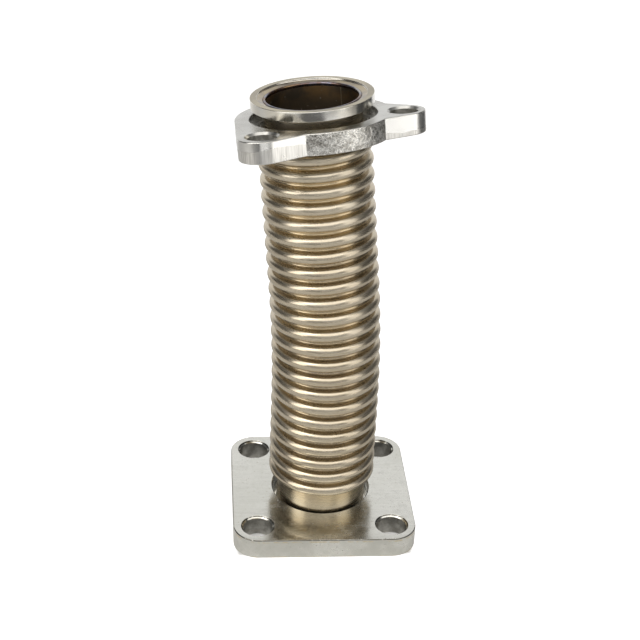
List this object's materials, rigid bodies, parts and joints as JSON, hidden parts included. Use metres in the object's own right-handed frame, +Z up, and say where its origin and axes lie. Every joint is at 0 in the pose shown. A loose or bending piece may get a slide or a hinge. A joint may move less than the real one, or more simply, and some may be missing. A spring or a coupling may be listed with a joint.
{
  "type": "metal bellows expansion joint",
  "caption": "Flexible stainless bellows tube between a square loose flange and a three-lug loose flange, each held on a cuff by a welded collar ring, for a small gas or exhaust line.",
  "frame": {"origin": "middle of the bounding box, at the level of the square flange's underside; the bore axis of that flange stands at x 0.35, y -3.88 mm", "axes": "+Z up out of the square flange's bore; X and Y along the square flange's sides, with one lug of the three-lug flange towards +X"},
  "size_m": [0.0688, 0.0758, 0.1681],
  "materials": {
    "plated_plate": "zinc-plated steel plate, semi-gloss, with sheared edges",
    "plated_casting": "bright plated forging with a rough crystalline skin on its sides",
    "machined_steel": "turned and polished stainless steel",
    "weld": "weld bead with straw, brown and blue heat tint",
    "stainless_tube": "satin stainless tube, warm champagne tint, dark brown inside",
    "formed_bellows": "satin formed stainless sheet with a warm champagne tint"
  },
  "bodies": {
    "lower_end": {"lower_collar": "machined_steel", "lower_cuff": "stainless_tube", "bellows_convolution_01": "formed_bellows"},
    "lower_bead": {"lower_weld_bead": "weld"},
    "base_flange": {"base_flange": "plated_plate"},
    "convolution_02": {"bellows_convolution_02": "formed_bellows"},
    "convolution_03": {"bellows_convolution_03": "formed_bellows"},
    "convolution_04": {"bellows_convolution_04": "formed_bellows"},
    "convolution_05": {"bellows_convolution_05": "formed_bellows"},
    "convolution_06": {"bellows_convolution_06": "formed_bellows"},
    "convolution_07": {"bellows_convolution_07": "formed_bellows"},
    "convolution_08": {"bellows_convolution_08": "formed_bellows"},
    "convolution_09": {"bellows_convolution_09": "formed_bellows"},
    "convolution_10": {"bellows_convolution_10": "formed_bellows"},
    "convolution_11": {"bellows_convolution_11": "formed_bellows"},
    "convolution_12": {"bellows_convolution_12": "formed_bellows"},
    "convolution_13": {"bellows_convolution_13": "formed_bellows"},
    "convolution_14": {"bellows_convolution_14": "formed_bellows"},
    "convolution_15": {"bellows_convolution_15": "formed_bellows"},
    "convolution_16": {"bellows_convolution_16": "formed_bellows"},
    "convolution_17": {"bellows_convolution_17": "formed_bellows"},
    "convolution_18": {"bellows_convolution_18": "formed_bellows"},
    "convolution_19": {"bellows_convolution_19": "formed_bellows"},
    "convolution_20": {"bellows_convolution_20": "formed_bellows"},
    "convolution_21": {"bellows_convolution_21": "formed_bellows"},
    "convolution_22": {"bellows_convolution_22": "formed_bellows"},
    "upper_end": {"bellows_convolution_23": "formed_bellows", "upper_cuff": "stainless_tube", "upper_collar": "machined_steel"},
    "upper_bead": {"upper_weld_bead": "weld"},
    "loose_flange": {"loose_flange": "plated_casting"}
  },
  "joints": [
    {"name": "bellows_lower_bend_x", "type": "hinge", "parent": "lower_end", "child": "convolution_02", "pos_m": [0.00035, -0.00388, 0.02135], "axis": [1, 0, 0], "range_deg": [-2, 2], "stiffness_Nm_per_rad": 10},
    {"name": "bellows_lower_bend_y", "type": "hinge", "parent": "convolution_02", "child": "convolution_03", "pos_m": [0.00035, -0.00388, 0.02725], "axis": [0, 1, 0], "range_deg": [-2, 2], "stiffness_Nm_per_rad": 10},
    {"name": "bellows_stretch", "type": "slide", "parent": "convolution_03", "child": "convolution_04", "axis": [0, 0, 1], "range_m": [-0.0006, 0.0008], "stiffness_N_per_m": 40000},
    {"name": "bellows_lower_bend_x_2", "type": "hinge", "parent": "convolution_04", "child": "convolution_05", "pos_m": [0.00035, -0.00388, 0.03905], "axis": [1, 0, 0], "range_deg": [-2, 2], "stiffness_Nm_per_rad": 10},
    {"name": "bellows_lower_bend_y_2", "type": "hinge", "parent": "convolution_05", "child": "convolution_06", "pos_m": [0.00035, -0.00388, 0.04495], "axis": [0, 1, 0], "range_deg": [-2, 2], "stiffness_Nm_per_rad": 10},
    {"name": "bellows_stretch_2", "type": "slide", "parent": "convolution_06", "child": "convolution_07", "axis": [-0.0009, 0.0007, 1], "range_m": [-0.0006, 0.0008], "stiffness_N_per_m": 40000},
    {"name": "bellows_lower_bend_x_3", "type": "hinge", "parent": "convolution_07", "child": "convolution_08", "pos_m": [0.00031, -0.00384, 0.05675], "axis": [1, 0, 0], "range_deg": [-2, 2], "stiffness_Nm_per_rad": 10},
    {"name": "bellows_lower_bend_y_3", "type": "hinge", "parent": "convolution_08", "child": "convolution_09", "pos_m": [0.0002, -0.00375, 0.06265], "axis": [0, 1, 0], "range_deg": [-2, 2], "stiffness_Nm_per_rad": 10},
    {"name": "bellows_stretch_3", "type": "slide", "parent": "convolution_09", "child": "convolution_10", "axis": [-0.0355, 0.0298, 0.9989], "range_m": [-0.0006, 0.0008], "stiffness_N_per_m": 40000},
    {"name": "bellows_lower_bend_x_4", "type": "hinge", "parent": "convolution_10", "child": "convolution_11", "pos_m": [-0.00021, -0.0034, 0.07444], "axis": [1, 0, 0], "range_deg": [-2, 2], "stiffness_Nm_per_rad": 10},
    {"name": "bellows_lower_bend_y_4", "type": "hinge", "parent": "convolution_11", "child": "convolution_12", "pos_m": [-0.00053, -0.00314, 0.08032], "axis": [0, 1, 0], "range_deg": [-2, 2], "stiffness_Nm_per_rad": 10},
    {"name": "bellows_upper_bend_y", "type": "hinge", "parent": "convolution_12", "child": "convolution_13", "pos_m": [-0.0009, -0.00282, 0.0862], "axis": [0, 1, 0], "range_deg": [-2, 2], "stiffness_Nm_per_rad": 10},
    {"name": "bellows_upper_bend_x", "type": "hinge", "parent": "convolution_13", "child": "convolution_14", "pos_m": [-0.00135, -0.00245, 0.09207], "axis": [1, 0, 0], "range_deg": [-2, 2], "stiffness_Nm_per_rad": 10},
    {"name": "bellows_stretch_4", "type": "slide", "parent": "convolution_14", "child": "convolution_15", "axis": [-0.092, 0.0772, 0.9928], "range_m": [-0.0006, 0.0008], "stiffness_N_per_m": 40000},
    {"name": "bellows_upper_bend_y_2", "type": "hinge", "parent": "convolution_15", "child": "convolution_16", "pos_m": [-0.00241, -0.00156, 0.10379], "axis": [0, 1, 0], "range_deg": [-2, 2], "stiffness_Nm_per_rad": 10},
    {"name": "bellows_upper_bend_x_2", "type": "hinge", "parent": "convolution_16", "child": "convolution_17", "pos_m": [-0.00295, -0.00111, 0.10965], "axis": [1, 0, 0], "range_deg": [-2, 2], "stiffness_Nm_per_rad": 10},
    {"name": "bellows_stretch_5", "type": "slide", "parent": "convolution_17", "child": "convolution_18", "axis": [-0.092, 0.0772, 0.9928], "range_m": [-0.0006, 0.0008], "stiffness_N_per_m": 40000},
    {"name": "bellows_upper_bend_y_3", "type": "hinge", "parent": "convolution_18", "child": "convolution_19", "pos_m": [-0.00404, -0.00019, 0.12136], "axis": [0, 1, 0], "range_deg": [-2, 2], "stiffness_Nm_per_rad": 10},
    {"name": "bellows_upper_bend_x_3", "type": "hinge", "parent": "convolution_19", "child": "convolution_20", "pos_m": [-0.00458, 0.00026, 0.12722], "axis": [1, 0, 0], "range_deg": [-2, 2], "stiffness_Nm_per_rad": 10},
    {"name": "bellows_stretch_6", "type": "slide", "parent": "convolution_20", "child": "convolution_21", "axis": [-0.092, 0.0772, 0.9928], "range_m": [-0.0006, 0.0008], "stiffness_N_per_m": 40000},
    {"name": "bellows_upper_bend_y_4", "type": "hinge", "parent": "convolution_21", "child": "convolution_22", "pos_m": [-0.00567, 0.00117, 0.13893], "axis": [0, 1, 0], "range_deg": [-2, 2], "stiffness_Nm_per_rad": 10},
    {"name": "bellows_upper_bend_x_4", "type": "hinge", "parent": "convolution_22", "child": "upper_end", "pos_m": [-0.00621, 0.00163, 0.14479], "axis": [1, 0, 0], "range_deg": [-2, 2], "stiffness_Nm_per_rad": 10},
    {"name": "base_flange_swivel", "type": "hinge", "parent": "lower_end", "child": "lower_bead", "pos_m": [0.00035, -0.00388, 0], "axis": [0, 0, 1], "continuous": true},
    {"name": "base_flange_lift", "type": "slide", "parent": "lower_bead", "child": "base_flange", "axis": [0, 0, 1], "range_m": [0, 0.0084]},
    {"name": "loose_flange_swivel", "type": "hinge", "parent": "upper_end", "child": "upper_bead", "pos_m": [-0.00814, 0.00325, 0.16559], "axis": [-0.092, 0.0772, 0.9928], "continuous": true},
    {"name": "loose_flange_lift", "type": "slide", "parent": "upper_bead", "child": "loose_flange", "axis": [-0.092, 0.0772, 0.9928], "range_m": [0, 0.0056]}
  ],
  "couplings": [
    {"joint": "bellows_lower_bend_x_2", "follows": "bellows_lower_bend_x", "ratio": 1},
    {"joint": "bellows_lower_bend_y_2", "follows": "bellows_lower_bend_y", "ratio": 1},
    {"joint": "bellows_stretch_2", "follows": "bellows_stretch", "ratio": 1},
    {"joint": "bellows_lower_bend_x_3", "follows": "bellows_lower_bend_x", "ratio": 1},
    {"joint": "bellows_lower_bend_y_3", "follows": "bellows_lower_bend_y", "ratio": 1},
    {"joint": "bellows_stretch_3", "follows": "bellows_stretch", "ratio": 1},
    {"joint": "bellows_lower_bend_x_4", "follows": "bellows_lower_bend_x", "ratio": 1},
    {"joint": "bellows_lower_bend_y_4", "follows": "bellows_lower_bend_y", "ratio": 1},
    {"joint": "bellows_stretch_4", "follows": "bellows_stretch", "ratio": 1},
    {"joint": "bellows_upper_bend_y_2", "follows": "bellows_upper_bend_y", "ratio": 1},
    {"joint": "bellows_upper_bend_x_2", "follows": "bellows_upper_bend_x", "ratio": 1},
    {"joint": "bellows_stretch_5", "follows": "bellows_stretch", "ratio": 1},
    {"joint": "bellows_upper_bend_y_3", "follows": "bellows_upper_bend_y", "ratio": 1},
    {"joint": "bellows_upper_bend_x_3", "follows": "bellows_upper_bend_x", "ratio": 1},
    {"joint": "bellows_stretch_6", "follows": "bellows_stretch", "ratio": 1},
    {"joint": "bellows_upper_bend_y_4", "follows": "bellows_upper_bend_y", "ratio": 1},
    {"joint": "bellows_upper_bend_x_4", "follows": "bellows_upper_bend_x", "ratio": 1}
  ]
}
